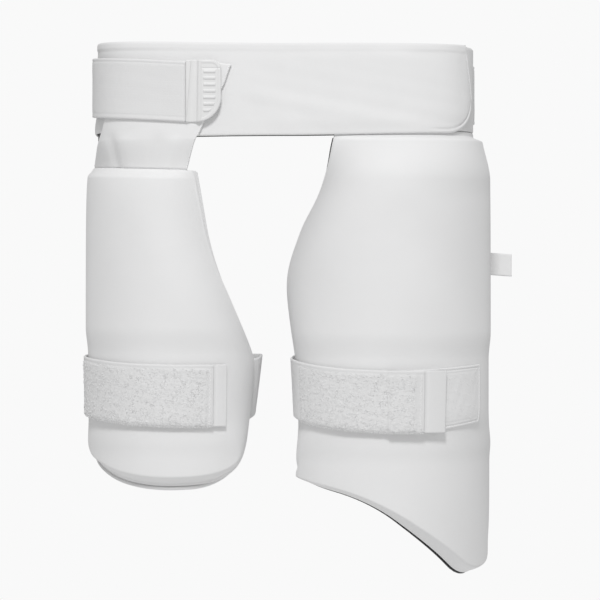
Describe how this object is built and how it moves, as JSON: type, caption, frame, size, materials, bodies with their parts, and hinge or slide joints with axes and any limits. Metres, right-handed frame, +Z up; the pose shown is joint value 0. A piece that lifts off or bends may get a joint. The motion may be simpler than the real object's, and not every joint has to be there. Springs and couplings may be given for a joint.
{
  "type": "cricket thigh guard",
  "caption": "Worn lower-body guard: a waist belt with closing elastic carries a padded outer thigh pad and a hanging inner thigh pad, each with a strap round the open leg",
  "frame": {"origin": "Middle of the waist opening, half way up the belt", "axes": "+Z up, the front of the guard faces -Y, +X towards the outer pad's side"},
  "size_m": [0.3503, 0.2143, 0.4338],
  "materials": {
    "face_cloth": "smooth matte white knit laminated to thin foam",
    "pad_cover": "smooth matte white knit stretched over moulded padding",
    "dark_lining": "dark brushed inner cloth",
    "elastic_webbing": "white ribbed elastic with a fine looped face",
    "moulded_tab": "soft moulded plastic with raised grip ribs, satin",
    "smooth_end": "smooth welded strap end, satin",
    "loop_cloth": "white brushed loop cloth",
    "backing_cloth": "light matte backing knit",
    "label_tape": "plain white woven tape, folded"
  },
  "bodies": {
    "root": {"waist_belt": "face_cloth", "waist_belt_lining": "dark_lining", "outer_pad_yoke": "face_cloth", "waist_elastic": "elastic_webbing", "closure_tab": "moulded_tab", "hanger_panel": "face_cloth", "outer_thigh_pad": "pad_cover", "outer_pad_lining": "dark_lining", "outer_thigh_strap": "elastic_webbing", "outer_strap_end_tab": "smooth_end", "outer_loop_patch": "loop_cloth", "inner_thigh_pad": "pad_cover", "inner_pad_backing": "backing_cloth", "inner_thigh_strap": "elastic_webbing", "inner_strap_end_tab": "smooth_end", "size_label": "label_tape"}
  },
  "joints": []
}
